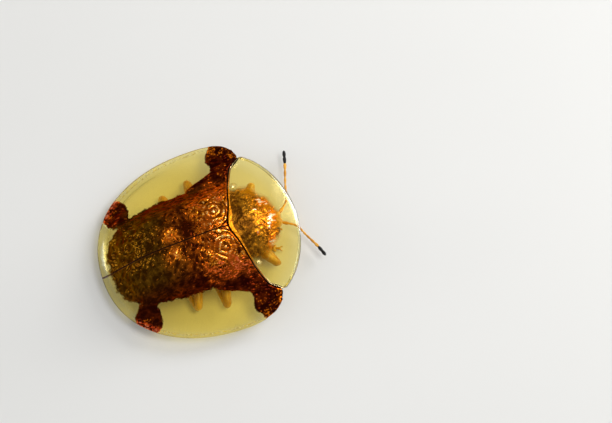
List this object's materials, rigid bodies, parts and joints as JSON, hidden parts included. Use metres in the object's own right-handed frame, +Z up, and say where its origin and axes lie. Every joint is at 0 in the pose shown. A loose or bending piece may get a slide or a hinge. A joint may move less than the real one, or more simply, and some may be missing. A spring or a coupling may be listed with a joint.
{
  "type": "tortoise beetle",
  "caption": "Tortoise beetle standing under a round domed shell with wide clear margins, feelers spread out in front.",
  "frame": {"origin": "on the floor, under the middle of the box that holds the animal with its feelers", "axes": "+X forwards along the body to the head, +Y to the animal's left, +Z up"},
  "size_m": [0.0141, 0.012, 0.0046],
  "materials": {
    "wing_case": "metallic red-gold disc, clear glossy margin",
    "neck_shield": "metallic gold disc, clear glossy margin",
    "plate": "satin amber",
    "limb": "satin amber",
    "eye": "glossy black"
  },
  "bodies": {
    "root": {"elytron_left": "wing_case", "elytron_right": "wing_case", "scutellum": "wing_case", "pronotum": "neck_shield", "abdomen": "plate", "thorax": "plate", "prothorax": "plate", "head": "plate", "eye_left": "eye", "eye_right": "eye", "mouthparts": "limb", "antenna_left": "limb", "antenna_right": "limb", "leg_front_left": "limb", "leg_front_right": "limb", "leg_middle_left": "limb", "leg_middle_right": "limb", "leg_hind_left": "limb", "leg_hind_right": "limb"}
  },
  "joints": []
}
